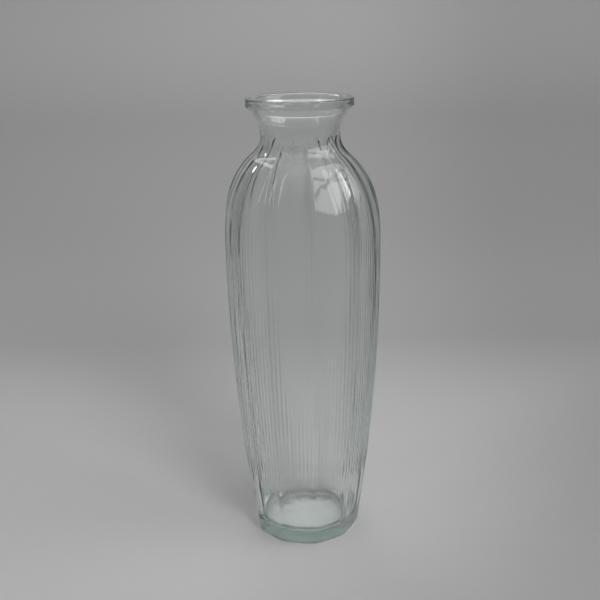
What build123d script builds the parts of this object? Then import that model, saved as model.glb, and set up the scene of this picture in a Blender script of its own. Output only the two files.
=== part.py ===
"""Bottle vase of clear moulded glass, one piece of glass from foot to lip.

Millimetres, +Z up. The origin is the middle of the ring that the vase stands on.
The side has ten panels with fine upright ribs. Azimuth 0 is the front, which faces -Y.
"""
from build123d import *
from math import cos, hypot, radians, sin, sqrt
import os

# Stretches of the outline, one on top of the other: 300 in all with the lip's edge
side_rise = 200.0
shoulder_rise = 63.0
neck_rise = 15.0
flare_rise = 17.2

# Radii of the outline, over the panel corners
neck_radius = 25.5
shoulder_end_radius = 34.6
shoulder_radius = 51.6
foot_radius = 36.4

# How the outline bends: below the shoulder, above it, into the neck and out to the lip
side_power = 1.85
shoulder_power = 3.6
neck_power = 2.2
flare_power = 1.89

# Lip: a flat disc with a sloped underside. The insets are counted in from its edge
lip_radius = 34.2
lip_edge_height = 4.8
lip_under_drop = 4.4
lip_root_inset = 5.2
flare_inset = 1.4
mouth_inset = 6.7
lip_top_rounding = 0.7
lip_under_rounding = 0.4
mouth_rounding = 2.4

# Panels, measured as azimuth from the front. Up the shoulder they get flat and then
# a little hollow, and their corners fade out just above the neck's narrowest place
panel_count = 10
first_corner_azimuth = 8.5
panel_flatness_share = 0.55
shoulder_flatness_share = 1.3
flatter_start_rise = 5.0
flatter_fade = 45.0
crease_end_rise = 3.0
crease_fade = 9.0

# Fine ribs, which fade out below the shoulder's end and above the foot
ribs_per_panel = 11
rib_rise = 0.22
rib_top_drop = 10.0
rib_top_fade = 50.0
rib_foot_height = 38.0
rib_foot_fade = 18.0

# Glass between the outside and the hollow
wall = 3.8
floor_thickness = 9.0
floor_corner_radius = 7.0

# Foot: the heel's rounding and the shallow dome inside the standing ring
heel_rounding = 2.5
ring_inner_radius = 27.0
dome_depth = 2.0

# Small lengths that the cuts and the slopes use
overrun = 5.0
slope_step = 0.5
lip_overlap = 1.0

shoulder_height = side_rise
shoulder_end_height = shoulder_height + shoulder_rise
neck_height = shoulder_end_height + neck_rise
flare_height = neck_height + flare_rise
vase_height = flare_height + lip_edge_height
lip_root_height = flare_height - lip_under_drop
flatter_start_height = shoulder_height + flatter_start_rise
crease_end_height = neck_height + crease_end_rise
rib_top_height = shoulder_end_height - rib_top_drop
lip_root_radius = lip_radius - lip_root_inset
flare_radius = lip_radius - flare_inset
mouth_radius = lip_radius - mouth_inset
panel_angle = 360 / panel_count


def eased(share):
    """Goes from 0 to 1 with a level start and a level end."""
    held = min(max(share, 0.0), 1.0)
    return held * held * (3 - 2 * held)


def heel_cut_back(height):
    """How far the rounded heel draws the outline in."""
    left_share = max(1 - height / heel_rounding, 0)
    return heel_rounding * (1 - sqrt(1 - left_share**2))


def side_radius(height):
    """Radius of the outline over the panel corners."""
    if height <= shoulder_height:
        share = (shoulder_height - height) / side_rise
        side = shoulder_radius - (shoulder_radius - foot_radius) * share**side_power
        return side - heel_cut_back(height)
    if height <= shoulder_end_height:
        share = (height - shoulder_height) / shoulder_rise
        return shoulder_radius - (shoulder_radius - shoulder_end_radius) * share**shoulder_power
    if height <= neck_height:
        share = (neck_height - height) / neck_rise
        return neck_radius + (shoulder_end_radius - neck_radius) * share**neck_power
    share = (height - neck_height) / flare_rise
    return neck_radius + (flare_radius - neck_radius) * share**flare_power


def side_slant(height):
    """How much longer the wall is when it is measured level instead of square to the side."""
    run = side_radius(height + slope_step) - side_radius(height - slope_step)
    return hypot(run, 2 * slope_step) / (2 * slope_step)


def flatness(height):
    """0 where the section is round, 1 where the panels are flat, more where they are hollow."""
    rise_share = (height - flatter_start_height) / flatter_fade
    gained = (shoulder_flatness_share - panel_flatness_share) * eased(rise_share)
    return (panel_flatness_share + gained) * eased((crease_end_height - height) / crease_fade)


def rib_rise_at(height):
    """How far the middle of a rib stands out of the panel."""
    top_share = (rib_top_height - height) / rib_top_fade
    foot_share = (height - rib_foot_height) / rib_foot_fade
    return rib_rise * eased(top_share) * eased(foot_share)


def panel_share(height, from_middle):
    """Radius beside the radius at the corner, at an angle from the middle of a panel."""
    straight_share = cos(radians(panel_angle / 2)) / cos(radians(from_middle))
    return 1 + flatness(height) * (straight_share - 1)


def outline_point(height, azimuth, rise=0):
    """A point of the section at this height, at an azimuth counted from the front."""
    from_middle = (azimuth - first_corner_azimuth) % panel_angle - panel_angle / 2
    reach = side_radius(height) * panel_share(height, from_middle) + rise
    return (reach * sin(radians(azimuth)), -reach * cos(radians(azimuth)))


def ribbed_section(height):
    """The level section at this height, with an arc for each rib."""
    rib_count = panel_count * ribs_per_panel
    rib_angle = 360 / rib_count
    rise = rib_rise_at(height)
    starts = [first_corner_azimuth + rib * rib_angle for rib in range(rib_count)]
    arcs = [
        ThreePointArc(
            outline_point(height, start),
            outline_point(height, start + rib_angle / 2, rise),
            outline_point(height, start + rib_angle),
            mode=Mode.PRIVATE,
        )
        for start in starts
    ]
    with BuildSketch(Plane.XY.offset(height)) as section:
        with BuildLine():
            add(arcs)
        make_face()
    return section.sketch


def hollow_radius(height):
    """Radius of the hollow, which keeps the wall's thickness from the middle of a panel."""
    return side_radius(height) * panel_share(height, 0) - wall * side_slant(height)


def heights_along(stretches):
    """Heights at the shares of each (low, high, shares) stretch."""
    return [low + (high - low) * share for low, high, shares in stretches for share in shares]


# Where the sections of the outside lie, as shares of each stretch of the outline
heel_shares = (0, 0.1, 0.3, 0.6, 1)
below_shares = (0.03, 0.07, 0.13, 0.19, 0.24, 0.29, 0.42, 0.56, 0.70, 0.85, 1)
shoulder_shares = (0.20, 0.40, 0.58, 0.70, 0.78, 0.86, 0.93)
neck_shares = (0.15, 0.40, 0.65, 1)
flare_shares = (0.35, 0.70, 1)
section_heights = heights_along(
    (
        (0, heel_rounding, heel_shares),
        (0, shoulder_height, below_shares),
        (shoulder_height, shoulder_end_height, shoulder_shares),
        (shoulder_end_height, neck_height, neck_shares),
        (neck_height, flare_height + lip_overlap, flare_shares),
    )
)

# Where the hollow's outline is held, in the same way
corner_top = floor_thickness + floor_corner_radius
inside_body_shares = (0, 0.15, 0.35, 0.55, 0.75, 0.88, 0.94, 0.98)
inside_neck_shares = (0.25, 0.60, 1)
inside_flare_shares = (0.45, 0.70)
inside_heights = heights_along(
    (
        (corner_top, shoulder_end_height, inside_body_shares),
        (shoulder_end_height, neck_height, inside_neck_shares),
        (neck_height, flare_height, inside_flare_shares),
    )
)

with BuildPart() as glass_vase:
    # Outside of the body and the neck
    loft([ribbed_section(height) for height in section_heights])
    # Lip
    with BuildSketch(Plane.XZ) as lip_profile:
        with BuildLine():
            Polyline(
                (0, lip_root_height),
                (lip_root_radius, lip_root_height),
                (lip_radius, flare_height),
                (lip_radius, vase_height),
                (0, vase_height),
                close=True,
            )
        make_face()
        fillet(lip_profile.vertices().group_by(Axis.X)[-1].sort_by(Axis.Y)[-1], lip_top_rounding)
        fillet(lip_profile.vertices().group_by(Axis.X)[-1].sort_by(Axis.Y)[0], lip_under_rounding)
    revolve(axis=Axis.Z)
    # Hollow, from the floor up the side, through the neck and out at the mouth
    with BuildSketch(Plane.XZ):
        with BuildLine():
            side = Spline(
                *[(hollow_radius(height), height) for height in inside_heights],
                (mouth_radius, vase_height - mouth_rounding),
            )
            mouth_edge = ThreePointArc(
                side @ 1,
                (
                    mouth_radius + mouth_rounding * (1 - cos(radians(45))),
                    vase_height - mouth_rounding * (1 - sin(radians(45))),
                ),
                (mouth_radius + mouth_rounding, vase_height),
            )
            top = Polyline(
                mouth_edge @ 1,
                (mouth_radius + mouth_rounding, vase_height + overrun),
                (0, vase_height + overrun),
            )
            corner_radius = hollow_radius(corner_top)
            middle = Polyline(
                top @ 1,
                (0, floor_thickness),
                (corner_radius - floor_corner_radius, floor_thickness),
            )
            ThreePointArc(
                middle @ 1,
                (
                    corner_radius - floor_corner_radius * (1 - sin(radians(45))),
                    corner_top - floor_corner_radius * cos(radians(45)),
                ),
                side @ 0,
            )
        make_face()
    revolve(axis=Axis.Z, mode=Mode.SUBTRACT)
    # Shallow dome under the foot
    dome_radius = (ring_inner_radius**2 + dome_depth**2) / (2 * dome_depth)
    with Locations((0, 0, dome_depth - dome_radius)):
        Sphere(dome_radius, mode=Mode.SUBTRACT)

glass_vase.part.label = "glass_vase"
os.makedirs("parts", exist_ok=True)
export_step(glass_vase.part, "parts/glass_vase.step")
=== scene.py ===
from math import atan2, cos, degrees, hypot, pi, radians, sin, sqrt

import bpy
from mathutils import Matrix, Vector, noise


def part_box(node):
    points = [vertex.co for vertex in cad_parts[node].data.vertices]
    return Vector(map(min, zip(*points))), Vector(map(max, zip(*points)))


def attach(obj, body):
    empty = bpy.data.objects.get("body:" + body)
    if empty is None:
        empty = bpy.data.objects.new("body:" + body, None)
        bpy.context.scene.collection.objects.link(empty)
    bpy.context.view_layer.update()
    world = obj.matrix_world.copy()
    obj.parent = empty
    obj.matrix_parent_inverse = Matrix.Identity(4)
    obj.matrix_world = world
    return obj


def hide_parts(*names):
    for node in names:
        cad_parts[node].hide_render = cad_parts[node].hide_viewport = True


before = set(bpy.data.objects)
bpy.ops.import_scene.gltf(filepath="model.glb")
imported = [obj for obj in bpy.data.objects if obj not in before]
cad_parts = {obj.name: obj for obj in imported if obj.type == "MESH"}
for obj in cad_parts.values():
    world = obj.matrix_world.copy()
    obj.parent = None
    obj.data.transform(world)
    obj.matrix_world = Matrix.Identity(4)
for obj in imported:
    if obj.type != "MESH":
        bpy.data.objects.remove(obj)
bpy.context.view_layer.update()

# Sizes are in metres and follow the height of the CAD vase, which is 300 mm
vase_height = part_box("glass_vase")[1][2]
mm = vase_height / 300

# Heights of the outline
neck_height = 278.0 * mm
shoulder_end_height = 263.0 * mm
shoulder_height = 200.0 * mm

# Radii of the outline, over the panel corners
lip_radius = 34.2 * mm
neck_radius = 25.5 * mm
shoulder_end_radius = 34.6 * mm
shoulder_radius = 51.6 * mm
foot_radius = 36.4 * mm

# How the outline bends
side_power = 1.85
shoulder_power = 3.6
neck_power = 2.2
flare_power = 1.89

# Lip, a flat disc with a sloped underside
lip_edge_height = 4.8 * mm
lip_under_drop = 4.4 * mm
lip_root_radius = 29.0 * mm
flare_radius = 32.8 * mm
lip_top_rounding = 0.7 * mm
lip_under_rounding = 0.4 * mm
mouth_radius = 27.5 * mm
mouth_rounding = 2.4 * mm
lip_flat_inset = 1.5 * mm
under_slope_gap = 0.5 * mm
under_slope_share = 0.3
under_centre_share = 0.35

# Panels, with azimuths in degrees from the front
panel_count = 10
first_corner_azimuth = 8.5
panel_flatness_share = 0.55
shoulder_flatness_share = 1.3
flatter_start_height = 210.0 * mm
flatter_fade = 36.0 * mm
crease_end_height = 280.0 * mm
crease_fade = 14.0 * mm

# Fine ribs, higher low on the body
ribs_per_panel = 11
rib_rise = 0.22 * mm
rib_top_height = 253.0 * mm
rib_top_fade = 50.0 * mm
rib_foot_height = 38.0 * mm
rib_foot_fade = 18.0 * mm
rib_low_share = 2.7
rib_low_height = 190.0 * mm
rib_low_fade = 90.0 * mm

# Glass between the outside and the hollow
wall = 3.8 * mm
floor_thickness = 9.0 * mm
floor_corner_radius = 7.0 * mm
slope_step = 0.5 * mm

# Foot: the heel's rounding and the shallow dome inside the standing ring
heel_rounding = 2.5 * mm
ring_inner_radius = 27.0 * mm
dome_depth = 2.0 * mm

panel_angle = 360 / panel_count
rib_angle = panel_angle / ribs_per_panel
flare_height = vase_height - lip_edge_height
lip_root_height = flare_height - lip_under_drop
corner_top = floor_thickness + floor_corner_radius

# How finely the mesh follows the shape: points round it, and rings along it
rib_steps = 6
fine_count = panel_count * ribs_per_panel * rib_steps
coarse_step = 3
coarse_count = fine_count // coarse_step
heel_rings = 6
dome_rings = 18
floor_rings = 7
mouth_steps = 8
under_edge_steps = 8
top_edge_steps = 12
floor_corner_steps = 10
meeting_tries = 30

# How uneven the pressed glass is, with lumps of these sizes across the glass and up it
corner_round_angle = 1.4
rib_weakest_share = 0.35
rib_lump = (2.2 * mm, 26 * mm)
outer_wave = 0.10 * mm
outer_lump = (4 * mm, 22 * mm)
inner_wave = 0.16 * mm
inner_lump = (7 * mm, 30 * mm)
inner_wave_start, inner_wave_fade = 10 * mm, 8 * mm
neck_calm_fade = 20.0 * mm
floor_edge_wave = 0.7 * mm
floor_edge_lump = (3 * mm, 1)
floor_edge_layer = 0
floor_wave = 0.35 * mm
floor_lump = (6 * mm, 1)
floor_layer = 1
wavy_floor_start, wavy_floor_fade = 12 * mm, 12 * mm


def eased(share):
    """Goes from 0 to 1 with a level start and a level end."""
    held = min(max(share, 0.0), 1.0)
    return held * held * (3 - 2 * held)


def heel_cut_back(height):
    """How far the rounded heel draws the outline in."""
    left_share = max(1 - height / heel_rounding, 0)
    return heel_rounding * (1 - sqrt(1 - left_share**2))


def side_radius(height):
    """Radius of the outline over the panel corners."""
    if height <= shoulder_height:
        share = (shoulder_height - height) / shoulder_height
        side = shoulder_radius - (shoulder_radius - foot_radius) * share**side_power
        return side - heel_cut_back(height)
    if height <= shoulder_end_height:
        share = (height - shoulder_height) / (shoulder_end_height - shoulder_height)
        return shoulder_radius - (shoulder_radius - shoulder_end_radius) * share**shoulder_power
    if height <= neck_height:
        share = (neck_height - height) / (neck_height - shoulder_end_height)
        return neck_radius + (shoulder_end_radius - neck_radius) * share**neck_power
    share = (height - neck_height) / (flare_height - neck_height)
    return neck_radius + (flare_radius - neck_radius) * share**flare_power


def side_slant(height):
    """How much longer the wall is when it is measured level instead of square to the side."""
    run = side_radius(height + slope_step) - side_radius(height - slope_step)
    return hypot(run, 2 * slope_step) / (2 * slope_step)


def flatness(height):
    """0 where the section is round, 1 where the panels are flat, more where they are hollow."""
    rise_share = (height - flatter_start_height) / flatter_fade
    gained = (shoulder_flatness_share - panel_flatness_share) * eased(rise_share)
    return (panel_flatness_share + gained) * eased((crease_end_height - height) / crease_fade)


def rib_rise_at(height):
    """How far the middle of a rib stands out of the panel."""
    top_share = (rib_top_height - height) / rib_top_fade
    foot_share = (height - rib_foot_height) / rib_foot_fade
    gained = 1 + (rib_low_share - 1) * eased((rib_low_height - height) / rib_low_fade)
    return rib_rise * gained * eased(top_share) * eased(foot_share)


def panel_share(height, from_middle):
    """Radius beside the radius at the corner, at an angle from the middle of a panel."""
    straight_share = cos(radians(panel_angle / 2)) / cos(radians(from_middle))
    return 1 + flatness(height) * (straight_share - 1)


def hollow_radius(height):
    """Radius of the hollow, which keeps the wall's thickness from the middle of a panel."""
    return side_radius(height) * panel_share(height, 0) - wall * side_slant(height)


def arc_points(centre, radius, start, end, count):
    """Points along an arc in the (radius, height) plane, angles in degrees."""
    return [
        (centre[0] + radius * cos(radians(a)), centre[1] + radius * sin(radians(a)))
        for a in (start + (end - start) * i / count for i in range(count + 1))
    ]


def turned_point(radius, azimuth, height):
    """The point at this azimuth from the front, which faces -Y."""
    return (radius * sin(radians(azimuth)), -radius * cos(radians(azimuth)), height)


def unevenness(azimuth, height, radius, lump):
    """Smooth noise from 0 to 1, with lumps of this size across and up the glass."""
    across, along = lump
    x, y, z = turned_point(radius, azimuth, height)
    return 0.5 + 0.5 * noise.noise(Vector((x / across, y / across, z / along)))


def rounded_corner_drop(height, from_middle):
    """How much the rounding takes off a panel's corner, as a share of the radius."""
    from_corner = panel_angle / 2 - abs(from_middle)
    left_share = max(1 - from_corner / corner_round_angle, 0)
    steepness = flatness(height) * sin(radians(panel_angle / 2))
    return steepness * radians(corner_round_angle) / 2 * left_share**2


def side_ring(height):
    """Points round the outside at this height."""
    rise = rib_rise_at(height)
    radius = side_radius(height)
    calm = eased((neck_height - height) / neck_calm_fade)
    points = []
    for step in range(fine_count):
        azimuth = first_corner_azimuth + 360 * step / fine_count
        from_middle = (azimuth - first_corner_azimuth) % panel_angle - panel_angle / 2
        along = step % rib_steps / rib_steps
        rib_middle = first_corner_azimuth + (step // rib_steps + 0.5) * rib_angle
        strength = unevenness(rib_middle, height, radius, rib_lump)
        strength = rib_weakest_share + (1 - rib_weakest_share) * eased(strength)
        share = panel_share(height, from_middle) - rounded_corner_drop(height, from_middle)
        reach = radius * share + rise * strength * 4 * along * (1 - along)
        reach -= outer_wave * calm * unevenness(azimuth, height, radius, outer_lump)
        points.append(turned_point(reach, azimuth, height))
    return points


def round_ring(radius, height, count):
    """Points round a plain ring."""
    azimuths = [first_corner_azimuth + 360 * i / count for i in range(count)]
    return [turned_point(radius, azimuth, height) for azimuth in azimuths]


def inner_ring(radius, height):
    """Points round the inside, a little wavy on the side and more so at the floor's edge."""
    calm = eased((neck_height - height) / neck_calm_fade)
    low_floor = eased((corner_top - height) / floor_corner_radius)
    low_edge = low_floor * eased((radius - wavy_floor_start) / wavy_floor_fade)
    side_wave = inner_wave * calm * eased((height - inner_wave_start) / inner_wave_fade)
    points = []
    for i in range(coarse_count):
        azimuth = first_corner_azimuth + 360 * i / coarse_count
        reach = radius - side_wave * unevenness(azimuth, height, radius, inner_lump)
        edge_unevenness = unevenness(azimuth, floor_edge_layer, radius, floor_edge_lump)
        reach -= floor_edge_wave * low_edge * edge_unevenness
        lowered = floor_wave * low_floor * unevenness(azimuth, floor_layer, radius, floor_lump)
        points.append(turned_point(reach, azimuth, height - lowered))
    return points


def under_lip_radius(height):
    """Radius of the lip's sloped underside."""
    share = (height - lip_root_height) / (flare_height - lip_root_height)
    return lip_root_radius + (lip_radius - lip_root_radius) * share


def meeting_height():
    """Where the flare of the neck runs into the lip's underside."""
    low, high = lip_root_height, flare_height
    for _ in range(meeting_tries):
        middle = (low + high) / 2
        if side_radius(middle) > under_lip_radius(middle):
            low = middle
        else:
            high = middle
    return low


def lip_outline():
    """(radius, height) points from the neck's top, round the lip's outer edge, to its flat top."""
    slope_angle = degrees(atan2(flare_height - lip_root_height, lip_radius - lip_root_radius))
    low = meeting_height()
    high = flare_height - lip_under_rounding * under_slope_share - under_slope_gap
    slope_heights = [low + (high - low) * share for share in (0.0, 0.05, 0.35, 0.65, 0.95)]
    points = [(under_lip_radius(height), height) for height in slope_heights]
    centre_height = flare_height + lip_under_rounding * under_centre_share
    centre = (lip_radius - lip_under_rounding, centre_height)
    points += arc_points(centre, lip_under_rounding, slope_angle - 90, 0, under_edge_steps)
    top_centre = (lip_radius - lip_top_rounding, vase_height - lip_top_rounding)
    gap = top_centre[1] - centre_height
    points += [(lip_radius, centre_height + gap * share) for share in (0.06, 0.5, 0.94)]
    points += arc_points(top_centre, lip_top_rounding, 0, 90, top_edge_steps)
    return points


def heights_along(stretches):
    """Heights from the start of each (start, end, count) stretch towards its end."""
    return [
        start + (end - start) * i / count for start, end, count in stretches for i in range(count)
    ]


def outer_heights():
    """Heights of the outer rings that follow the side, from the standing ring to the lip."""
    heel = [heel_rounding * (1 - cos(radians(90 * i / heel_rings))) for i in range(heel_rings)]
    # The rings are closest where the ribs and the panels change most
    return heel + heights_along((
        (heel_rounding, 40 * mm, 9),
        (40 * mm, 60 * mm, 6),
        (60 * mm, shoulder_height, 17),
        (shoulder_height, 240 * mm, 12),
        (240 * mm, shoulder_end_height, 13),
        (shoulder_end_height, neck_height, 12),
        (neck_height, meeting_height(), 10),
    ))


def smooth_curve(points, heights):
    """Radii at the heights, on a smooth curve through the (radius, height) points."""
    slopes = []
    for i in range(len(points)):
        (r0, z0), (r1, z1) = points[max(i - 1, 0)], points[min(i + 1, len(points) - 1)]
        if 0 < i < len(points) - 1:
            r, z = points[i]
            before, after = z - z0, z1 - z
            slope = (r - r0) / before * after + (r1 - r) / after * before
            slopes.append(slope / (before + after))
        else:
            slopes.append((r1 - r0) / (z1 - z0))
    radii = []
    for height in heights:
        i = max(k for k in range(len(points) - 1) if points[k][1] <= height or k == 0)
        (r0, z0), (r1, z1) = points[i], points[i + 1]
        t, step = (height - z0) / (z1 - z0), z1 - z0
        radii.append(
            (2 * t**3 - 3 * t**2 + 1) * r0
            + (t**3 - 2 * t**2 + t) * step * slopes[i]
            + (3 * t**2 - 2 * t**3) * r1
            + (t**3 - t**2) * step * slopes[i + 1]
        )
    return radii


# Where the inside's curve is held, as shares of the body, the neck and the flare
inside_body_shares = (0, 0.15, 0.35, 0.55, 0.75, 0.88, 0.94, 0.98)
inside_neck_shares = (0.25, 0.60, 1)
inside_flare_shares = (0.45, 0.70)


def inner_outline():
    """(radius, height) points from the flat top of the lip, down the inside, to the floor."""
    mouth_height = vase_height - mouth_rounding
    mouth_centre = (mouth_radius + mouth_rounding, mouth_height)
    points = [(lip_radius - lip_top_rounding - lip_flat_inset, vase_height)]
    points += arc_points(mouth_centre, mouth_rounding, 90, 180, mouth_steps)
    held = [
        low + (high - low) * share
        for low, high, shares in (
            (corner_top, shoulder_end_height, inside_body_shares),
            (shoulder_end_height, neck_height, inside_neck_shares),
            (neck_height, flare_height, inside_flare_shares),
        )
        for share in shares
    ]
    curve = [(hollow_radius(h), h) for h in held] + [(mouth_radius, mouth_height)]
    heights = heights_along((
        (mouth_height, neck_height, 14),
        (neck_height, 255 * mm, 18),
        (255 * mm, 225 * mm, 12),
        (225 * mm, corner_top, 20),
    ))[1:] + [corner_top]
    points += list(zip(smooth_curve(curve, heights), heights))
    inner = hollow_radius(corner_top) - floor_corner_radius
    corner = arc_points((inner, corner_top), floor_corner_radius, 0, -90, floor_corner_steps)
    points += corner[1:]
    points += [(inner * (1 - i / floor_rings), floor_thickness) for i in range(1, floor_rings)]
    return points


def build_glass():
    """One closed mesh of the whole vase."""
    verts, faces = [], []

    def add_ring(points):
        """Adds the points and gives their indices."""
        start = len(verts)
        verts.extend(points)
        return list(range(start, start + len(points)))

    def bridge(a, b):
        """Quads between two rings of the same count, outward for a below b."""
        for i in range(len(a)):
            j = (i + 1) % len(a)
            faces.append((a[i], a[j], b[j], b[i]))

    def bridge_all(rings):
        """Quads between each ring and the next."""
        for a, b in zip(rings, rings[1:]):
            bridge(a, b)

    def bridge_fine_to_coarse(fine, coarse, flip):
        """Triangles between a fine ring and a ring with one point for coarse_step of its points."""
        half = coarse_step // 2
        for i, here in enumerate(coarse):
            there = coarse[(i + 1) % len(coarse)]
            span = [fine[(i * coarse_step + k) % len(fine)] for k in range(coarse_step + 1)]
            loops = [(span[k], span[k + 1], here) for k in range(half + 1)]
            loops.append((span[half + 1], there, here))
            loops += [(span[k], span[k + 1], there) for k in range(half + 1, coarse_step)]
            faces.extend(tuple(reversed(loop)) if flip else loop for loop in loops)

    def cap(ring, centre, flip):
        """Triangles from a ring to a point in its middle."""
        index = len(verts)
        verts.append(centre)
        for a, b in zip(ring, ring[1:] + ring[:1]):
            faces.append((index, b, a) if flip else (a, b, index))

    # Under the foot, from the dome's middle to the standing ring
    dome_radius = (ring_inner_radius**2 + dome_depth**2) / (2 * dome_depth)
    under = []
    for i in range(1, dome_rings + 1):
        radius = ring_inner_radius * i / dome_rings
        height = dome_depth - dome_radius + sqrt(dome_radius**2 - radius**2)
        under.append(add_ring(round_ring(radius, height, coarse_count)))
    cap(under[0], (0, 0, dome_depth), True)
    bridge_all(under)
    # Up the outside and round the lip
    side = [add_ring(side_ring(height)) for height in outer_heights()]
    bridge_fine_to_coarse(side[0], under[-1], True)
    lip = [add_ring(round_ring(r, z, fine_count)) for r, z in lip_outline()]
    bridge_all(side + lip)
    # Down the inside to the floor
    inside = [add_ring(inner_ring(r, z)) for r, z in inner_outline()]
    bridge_fine_to_coarse(lip[-1], inside[0], False)
    bridge_all(inside)
    cap(inside[-1], (0, 0, floor_thickness), False)
    mesh = bpy.data.meshes.new("glass_vase_body")
    mesh.from_pydata(verts, [], faces)
    mesh.validate()
    mesh.shade_smooth()
    obj = bpy.data.objects.new("glass_vase_body", mesh)
    bpy.context.collection.objects.link(obj)
    return obj


class Nodes:
    """Adds nodes to a node tree and links them."""

    def __init__(self, tree):
        self.tree = tree

    def add(self, kind):
        return self.tree.nodes.new(kind)

    def link(self, output, socket):
        self.tree.links.new(output, socket)

    def split(self, output):
        """The x, y and z of a vector."""
        node = self.add("ShaderNodeSeparateXYZ")
        self.link(output, node.inputs[0])
        return node.outputs

    def calc(self, op, *values):
        """The result of a math node, for numbers and the outputs of other nodes."""
        node = self.add("ShaderNodeMath")
        node.operation = op
        for socket, value in zip(node.inputs, values):
            if isinstance(value, (int, float)):
                socket.default_value = value
            else:
                self.link(value, socket)
        return node.outputs[0]

    def ramp(self, value, low, high, at_low=0.0, at_high=1.0):
        """Goes smoothly from at_low to at_high as the value goes from low to high."""
        node = self.add("ShaderNodeMapRange")
        node.interpolation_type = "SMOOTHSTEP"
        self.link(value, node.inputs["Value"])
        node.inputs["From Min"].default_value = low
        node.inputs["From Max"].default_value = high
        node.inputs["To Min"].default_value = at_low
        node.inputs["To Max"].default_value = at_high
        return node.outputs["Result"]

    def between(self, value, low, high, soft):
        """1 inside low..high, falling to 0 over soft outside it."""
        rising = self.ramp(value, low - soft, low)
        return self.calc("MULTIPLY", rising, self.ramp(value, high, high + soft, 1.0, 0.0))

    def distance(self, x, y):
        """How far from the upright axis."""
        squares = self.calc("ADD", self.calc("MULTIPLY", x, x), self.calc("MULTIPLY", y, y))
        return self.calc("SQRT", squares)

    def product(self, *values):
        """All the values multiplied."""
        out = values[0]
        for value in values[1:]:
            out = self.calc("MULTIPLY", out, value)
        return out

    def tinted(self, level, colour):
        """The colour times the level."""
        node = self.add("ShaderNodeCombineXYZ")
        for socket, share in zip(node.inputs, colour):
            self.link(self.calc("MULTIPLY", level, share), socket)
        return node.outputs[0]


# Clear glass, a little rough in the floor and under it, with a faint green tint where it is thick
glass_ior = 1.52
glass_roughness = 0.02
floor_roughness = 0.18
rough_end_height = 9.3 * mm
clear_start_height = 14.0 * mm
absorption_colour = (0.655, 0.768, 0.727, 1)
absorption_density = 26.0


def glass_material():
    """Glass that gets its tint from how thick it is."""
    mat = bpy.data.materials.new("clear_glass")
    mat.use_nodes = True
    nodes = Nodes(mat.node_tree)
    shader = mat.node_tree.nodes["Principled BSDF"].inputs
    shader["Base Color"].default_value = (1, 1, 1, 1)
    shader["IOR"].default_value = glass_ior
    shader["Transmission Weight"].default_value = 1.0
    height = nodes.split(nodes.add("ShaderNodeTexCoord").outputs["Object"])["Z"]
    roughness = nodes.ramp(
        height, rough_end_height, clear_start_height, floor_roughness, glass_roughness
    )
    nodes.link(roughness, shader["Roughness"])
    absorb = nodes.add("ShaderNodeVolumeAbsorption")
    absorb.inputs["Color"].default_value = absorption_colour
    absorb.inputs["Density"].default_value = absorption_density
    nodes.link(absorb.outputs[0], mat.node_tree.nodes["Material Output"].inputs["Volume"])
    return mat


glass = build_glass()
glass.data.materials.append(glass_material())
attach(glass, "root")
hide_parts("glass_vase")


# Tone of the paper with painted light and shade, and how it changes: from, to (metres), and its
# share at both ends. The paper is painted darker towards the back, to the right, near on the right
# and in front, lighter up the wall, and brighter in a disc under the vase
sweep_colour = (0.352, 0.350, 0.351)
wall_shade_ramp = (0.16, 0.44, 1.0, 0.83)
wall_top_light_ramp = (0.06, 0.34, 1.0, 1.48)
right_shade_ramp = (0.04, 0.28, 1.0, 0.83)
near_right_slant = 0.8
near_right_shade_ramp = (0.02, 0.24, 1.0, 0.78)
front_shade_ramp = (-0.55, -0.05, 0.50, 1.0)
# Painted light: the paper is brighter in a disc under the vase's foot
under_vase_light_ramp = (0.027, 0.037, 2.3, 1.0)
paper_roughness = 0.9
paper_shine = 0.2

# The plain tone that the world shows, and where the paper goes over into a painted glow at that tone
seen_level = 0.22
far_glow_ramp = (0.72, 1.5, 0.0, 1.0)


def sweep_material():
    """Grey paper with painted light and shade: darker towards the back, to the right and in front,
    lighter up the wall, brighter in a disc under the vase, and far out a painted glow at the world's
    tone.
    """
    mat = bpy.data.materials.new("sweep_paper")
    mat.use_nodes = True
    nodes = Nodes(mat.node_tree)
    paper = mat.node_tree.nodes["Principled BSDF"]
    x, y, z = nodes.split(nodes.add("ShaderNodeTexCoord").outputs["Object"])
    near_right = nodes.calc("SUBTRACT", x, nodes.calc("MULTIPLY", y, near_right_slant))
    from_vase = nodes.distance(x, y)
    # The level is painted light and shade, multiplied into the paper's colour
    level = nodes.product(
        nodes.ramp(y, *wall_shade_ramp),
        nodes.ramp(z, *wall_top_light_ramp),
        nodes.ramp(x, *right_shade_ramp),
        nodes.ramp(near_right, *near_right_shade_ramp),
        nodes.ramp(y, *front_shade_ramp),
        # Painted light: a brighter disc under the foot, seen through the glass base
        nodes.ramp(from_vase, *under_vase_light_ramp),
    )
    nodes.link(nodes.tinted(level, sweep_colour), paper.inputs["Base Color"])
    paper.inputs["Roughness"].default_value = paper_roughness
    paper.inputs["Specular IOR Level"].default_value = paper_shine
    # Far out the paper is a painted glow at the world's tone, which camera, glossy and transmission
    # rays see, so that no edge is seen
    plain = nodes.add("ShaderNodeEmission")
    path = nodes.add("ShaderNodeLightPath").outputs
    seen = nodes.calc("MAXIMUM", path["Is Camera Ray"], path["Is Glossy Ray"])
    seen = nodes.calc("MAXIMUM", seen, path["Is Transmission Ray"])
    nodes.link(nodes.calc("MULTIPLY", seen, seen_level), plain.inputs["Strength"])
    mix = nodes.add("ShaderNodeMixShader")
    nodes.link(nodes.ramp(from_vase, *far_glow_ramp), mix.inputs[0])
    nodes.link(paper.outputs["BSDF"], mix.inputs[1])
    nodes.link(plain.outputs["Emission"], mix.inputs[2])
    nodes.link(mix.outputs["Shader"], mat.node_tree.nodes["Material Output"].inputs["Surface"])
    return mat


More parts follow.
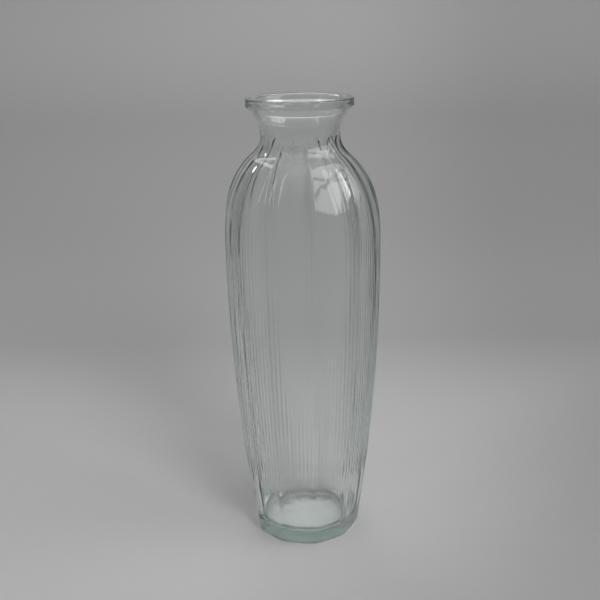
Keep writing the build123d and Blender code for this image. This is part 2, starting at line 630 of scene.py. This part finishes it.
# Paper in metres: a floor that sweeps up into a backdrop. It lies a little below the foot
sweep_half_width = 3.0
sweep_front = -3.0
sweep_back = 0.58
sweep_bend = 0.22
sweep_bend_step = 5
sweep_top = 0.75
sweep_below_foot = 0.4 * mm


def build_sweep():
    """The paper, as one smooth sheet."""
    start = sweep_back - sweep_bend
    profile = [(sweep_front, 0.0), (start, 0.0)]
    for angle in range(sweep_bend_step, 91, sweep_bend_step):
        turn = radians(angle)
        profile.append((start + sweep_bend * sin(turn), sweep_bend - sweep_bend * cos(turn)))
    profile.append((sweep_back, sweep_top))
    sides = (-sweep_half_width, sweep_half_width)
    verts = [(x, y, z - sweep_below_foot) for y, z in profile for x in sides]
    faces = [(2 * i, 2 * i + 1, 2 * i + 3, 2 * i + 2) for i in range(len(profile) - 1)]
    mesh = bpy.data.meshes.new("backdrop_sweep")
    mesh.from_pydata(verts, [], faces)
    mesh.shade_smooth()
    obj = bpy.data.objects.new("backdrop_sweep", mesh)
    bpy.context.collection.objects.link(obj)
    mesh.materials.append(sweep_material())


build_sweep()

# Camera, fitted to the outline of the vase in the photograph. Distances are in metres
camera_distance = 0.560
camera_height = 0.3535
camera_pitch = radians(18.44)
camera_yaw = radians(-0.22)
camera_roll = radians(-1.13)
focal_pixels = 879.0
frame_pixels = 600.0

ahead = cos(camera_pitch)
forward = Vector((sin(camera_yaw) * ahead, cos(camera_yaw) * ahead, -sin(camera_pitch)))
right = Vector((cos(camera_yaw), -sin(camera_yaw), 0.0))
up = right.cross(forward)
turned_right = right * cos(camera_roll) + up * sin(camera_roll)
turned_up = up * cos(camera_roll) - right * sin(camera_roll)
cam_data = bpy.data.cameras.new("camera")
cam_data.sensor_width = 36.0
cam_data.lens = cam_data.sensor_width * focal_pixels / frame_pixels
cam_data.clip_start = 0.01
cam = bpy.data.objects.new("camera", cam_data)
bpy.context.collection.objects.link(cam)
cam.matrix_world = Matrix((
    (turned_right.x, turned_up.x, -forward.x, 0.0),
    (turned_right.y, turned_up.y, -forward.y, -camera_distance),
    (turned_right.z, turned_up.z, -forward.z, camera_height),
    (0, 0, 0, 1),
))
bpy.context.scene.camera = cam

# Light in the world: a dim room under a bright ceiling. Angles are in degrees
room_level = 0.07
ceiling_level = 0.98
ceiling_power = 3.0
backdrop_elevation = 20
backdrop_softness = 8

# Window panes, as azimuths from the front and elevations in degrees, on the right and the left
window_level = 3.0
window_softness = 2
window_panes = (
    (54, 64, 14, 41),
    (69, 105, 14, 41),
    (54, 64, 46, 62),
    (69, 88, 46, 62),
    (-62, -58, 20, 60),
    (-126, -121, 20, 50),
)


def build_world():
    """Room light by direction, which only the glass and the paper meet, and the plain background."""
    world = bpy.data.worlds.new("studio")
    bpy.context.scene.world = world
    world.use_nodes = True
    nodes = Nodes(world.node_tree)
    x, y, z = nodes.split(nodes.add("ShaderNodeTexCoord").outputs["Generated"])
    elevation = nodes.calc("MULTIPLY", nodes.calc("ARCSINE", z), 180 / pi)
    azimuth = nodes.calc("ARCTAN2", x, nodes.calc("MULTIPLY", y, -1))
    azimuth = nodes.calc("MULTIPLY", azimuth, 180 / pi)
    height = nodes.calc("POWER", nodes.calc("MAXIMUM", z, 0), ceiling_power)
    room = nodes.calc("ADD", room_level, nodes.calc("MULTIPLY", height, ceiling_level))
    # Low down every ray meets the background's tone, so that the glass shows what is behind it.
    # Higher up only the camera does, and the glass reflects the room
    seen = nodes.add("ShaderNodeLightPath").outputs["Is Camera Ray"]
    unseen = nodes.calc("SUBTRACT", 1.0, seen)
    low = nodes.between(elevation, -90, backdrop_elevation, backdrop_softness)
    shown = nodes.calc("MAXIMUM", seen, low)
    room = nodes.calc("MULTIPLY", room, nodes.calc("SUBTRACT", 1.0, shown))
    light = nodes.calc("ADD", room, nodes.calc("MULTIPLY", seen_level, shown))
    for left, right, bottom, top in window_panes:
        pane = nodes.product(
            nodes.between(azimuth, left, right, window_softness),
            nodes.between(elevation, bottom, top, window_softness),
            window_level,
            unseen,
        )
        light = nodes.calc("ADD", light, pane)
    background = world.node_tree.nodes["Background"].inputs
    nodes.link(nodes.tinted(light, (1.0, 1.0, 1.0)), background["Color"])
    background["Strength"].default_value = 1.0


build_world()

# Key lamp, a soft disk in front on the right. It lights the paper and casts the vase's
# shadow on it, and it isn't seen in the glass
key_azimuth = radians(30.0)
key_elevation = radians(38.0)
key_distance = 1.6
key_size = 0.65
key_energy = 15.0

# Rim lamp, a soft strip above the backdrop, which glints on the lip's top
rim_place = Vector((-0.07, 0.45, 0.62))
rim_width = 0.30
rim_depth = 0.06
rim_energy = 0.8


def add_lamp(name, shape, size, energy, place, target):
    """A soft lamp that shines from its place to the target, unseen through the glass."""
    lamp = bpy.data.lights.new(name, "AREA")
    lamp.shape = shape
    lamp.size = size
    lamp.energy = energy
    obj = bpy.data.objects.new(name, lamp)
    bpy.context.collection.objects.link(obj)
    obj.location = place
    obj.rotation_euler = (place - target).to_track_quat("Z", "Y").to_euler()
    obj.visible_camera = False
    obj.visible_transmission = False
    return obj


key_away = Vector((
    sin(key_azimuth) * cos(key_elevation),
    -cos(key_azimuth) * cos(key_elevation),
    sin(key_elevation),
))
key = add_lamp("key", "DISK", key_size, key_energy, key_away * key_distance, Vector((0, 0, 0)))
key.visible_glossy = False
lip_middle = Vector((0, 0, vase_height))
rim = add_lamp("rim", "RECTANGLE", rim_width, rim_energy, rim_place, lip_middle)
rim.data.size_y = rim_depth

cycles = bpy.context.scene.cycles
cycles.max_bounces = 24
cycles.transmission_bounces = 24
cycles.glossy_bounces = 12
cycles.diffuse_bounces = 4
cycles.caustics_refractive = True
cycles.caustics_reflective = True
cycles.blur_glossy = 0.0
cycles.sample_clamp_indirect = 10.0

bpy.context.scene.view_settings.view_transform = "Standard"
